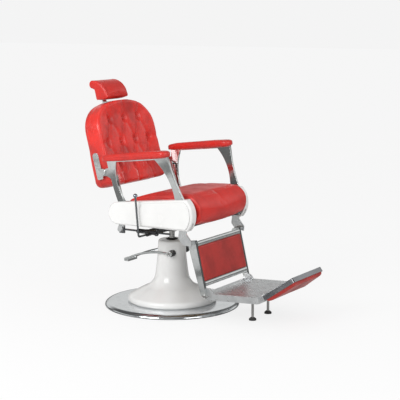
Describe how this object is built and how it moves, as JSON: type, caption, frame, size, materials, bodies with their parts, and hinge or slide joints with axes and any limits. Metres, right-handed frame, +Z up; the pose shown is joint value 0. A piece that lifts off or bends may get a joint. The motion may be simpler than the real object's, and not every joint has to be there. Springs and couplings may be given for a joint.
{
  "type": "barber chair",
  "caption": "Hydraulic barber chair with padded seat, buttoned reclining back, headrest, chrome arms, linked leg rest with folding toe flap, and round pedestal base.",
  "frame": {"origin": "on the floor under the ram's axis", "axes": "+Z up, the chair faces -Y, the sitter's left is +X"},
  "size_m": [0.7, 1.2467, 1.1579],
  "materials": {
    "chrome": "polished",
    "disc_chrome": "polished",
    "black_rubber": "matt",
    "pedestal_enamel": "gloss",
    "panel_enamel": "gloss",
    "raw_cast": "as cast",
    "dark_steel": "satin",
    "bright_steel": "ground",
    "bronze": "machined",
    "hide": "grained and glossy",
    "plywood": "plain",
    "cast_aluminium": "cast and buffed",
    "black_nylon": "moulded"
  },
  "bodies": {
    "base": {"base_plate": "disc_chrome", "base_rubber_ring": "black_rubber", "pedestal_cover": "pedestal_enamel", "pump_cylinder": "raw_cast", "flange_bolts": "bright_steel", "ram_guide_bush": "bronze", "ram_wiper_seal": "black_rubber", "pump_block": "raw_cast", "lever_bushes": "black_nylon"},
    "pump_lever": {"lever_shaft": "bright_steel", "lever_crank": "dark_steel", "foot_lever": "chrome"},
    "plunger": {"pump_plunger": "bright_steel"},
    "lift": {"ram": "chrome"},
    "seat": {"seat_mount": "dark_steel", "mount_bolts": "bright_steel", "seat_frame": "dark_steel", "seat_board": "plywood", "seat_cushion": "hide", "side_panel_left": "panel_enamel", "side_panel_right": "panel_enamel", "arm_frame_left": "chrome", "arm_frame_right": "chrome", "armrest_pad_left": "hide", "armrest_pad_right": "hide", "arm_foot_screws": "bright_steel", "hinge_pins": "chrome", "lock_housing": "dark_steel", "lock_spring": "bright_steel"},
    "recline_hand_lever": {"recline_lever": "chrome", "recline_knob": "chrome"},
    "backrest": {"back_board": "plywood", "back_cushion": "hide", "back_rear_cover": "hide", "back_buttons": "hide", "back_bracket_left": "chrome", "back_bracket_right": "chrome", "headrest_socket": "dark_steel"},
    "headrest_stem": {"headrest_post": "chrome"},
    "headrest": {"headrest_bracket": "dark_steel", "headrest_pillow": "hide"},
    "crank": {"recline_crank": "dark_steel", "release_arm": "cast_aluminium"},
    "lock_bar": {"lock_rod": "bright_steel"},
    "back_link_pair": {"back_links": "bright_steel"},
    "legrest_link_pair": {"legrest_links": "bright_steel"},
    "legrest": {"legrest_arm_left": "cast_aluminium", "legrest_arm_right": "cast_aluminium", "calf_frame": "chrome", "calf_panel": "hide", "tread_plate": "cast_aluminium", "tread_bolts": "bright_steel", "foot_sleeves": "dark_steel", "flap_hinge_pin": "bright_steel"},
    "toe_flap": {"flap_frame": "cast_aluminium", "flap_pad": "hide"},
    "foot_left": {"foot_stem_left": "bright_steel", "foot_pad_left": "black_rubber"},
    "foot_right": {"foot_stem_right": "bright_steel", "foot_pad_right": "black_rubber"}
  },
  "joints": [
    {"name": "pump_lever_swing", "type": "hinge", "parent": "base", "child": "pump_lever", "pos_m": [0, -0.043, 0.284], "axis": [-1, 0, 0], "range_deg": [0, 22], "stiffness_Nm_per_rad": 5, "springref_deg": -28.65},
    {"name": "plunger_stroke", "type": "slide", "parent": "base", "child": "plunger", "axis": [0, 0, -1], "range_m": [0, 0.0096]},
    {"name": "ram_lift", "type": "slide", "parent": "base", "child": "lift", "axis": [0, 0, 1], "range_m": [0, 0.15]},
    {"name": "seat_swivel", "type": "hinge", "parent": "lift", "child": "seat", "pos_m": [0, 0, 0.42], "axis": [0, 0, 1], "continuous": true},
    {"name": "recline_lever_pull", "type": "hinge", "parent": "seat", "child": "recline_hand_lever", "pos_m": [-0.31, -0.002, 0.404], "axis": [-1, 0, 0], "range_deg": [0, 18], "stiffness_Nm_per_rad": 3, "springref_deg": -11.46},
    {"name": "back_recline", "type": "hinge", "parent": "seat", "child": "backrest", "pos_m": [0, 0.214, 0.71], "axis": [-1, 0, 0], "range_deg": [0, 45]},
    {"name": "crank_turn", "type": "hinge", "parent": "seat", "child": "crank", "pos_m": [0, 0.145, 0.48], "axis": [-1, 0, 0], "range_deg": [0, 45]},
    {"name": "lock_bar_slide", "type": "slide", "parent": "seat", "child": "lock_bar", "axis": [0, -1, 0], "range_m": [0, 0.056]},
    {"name": "back_link_swing", "type": "hinge", "parent": "crank", "child": "back_link_pair", "pos_m": [0, 0.1, 0.475], "axis": [1, 0, 0], "range_deg": [0, 45]},
    {"name": "legrest_link_swing", "type": "hinge", "parent": "crank", "child": "legrest_link_pair", "pos_m": [0, 0.11, 0.515], "axis": [1, 0, 0], "range_deg": [0, 45]},
    {"name": "legrest_swing", "type": "hinge", "parent": "seat", "child": "legrest", "pos_m": [0, -0.232, 0.47], "axis": [-1, 0, 0], "range_deg": [0, 45]},
    {"name": "toe_flap_fold", "type": "hinge", "parent": "legrest", "child": "toe_flap", "pos_m": [0, -0.63446, 0.15493], "axis": [-1, 0, 0], "range_deg": [0, 142]},
    {"name": "foot_left_screw", "type": "slide", "parent": "legrest", "child": "foot_left", "axis": [0, 0, 1], "range_m": [0, 0.012]},
    {"name": "foot_right_screw", "type": "slide", "parent": "legrest", "child": "foot_right", "axis": [0, 0, 1], "range_m": [0, 0.012]},
    {"name": "headrest_height", "type": "slide", "parent": "backrest", "child": "headrest_stem", "axis": [0, 0.2588, 0.9659], "range_m": [0, 0.06]},
    {"name": "headrest_tilt", "type": "hinge", "parent": "headrest_stem", "child": "headrest", "pos_m": [0, 0.42971, 1.07459], "axis": [1, 0, 0], "range_deg": [-25, 8]}
  ],
  "couplings": [
    {"joint": "plunger_stroke", "follows": "pump_lever_swing", "m_per_rad": 0.024},
    {"joint": "crank_turn", "follows": "back_recline", "ratio": 1},
    {"joint": "legrest_swing", "follows": "back_recline", "ratio": 1},
    {"joint": "back_link_swing", "follows": "back_recline", "ratio": 1},
    {"joint": "legrest_link_swing", "follows": "back_recline", "ratio": 1},
    {"joint": "lock_bar_slide", "follows": "back_recline", "m_per_rad": 0.0695}
  ]
}
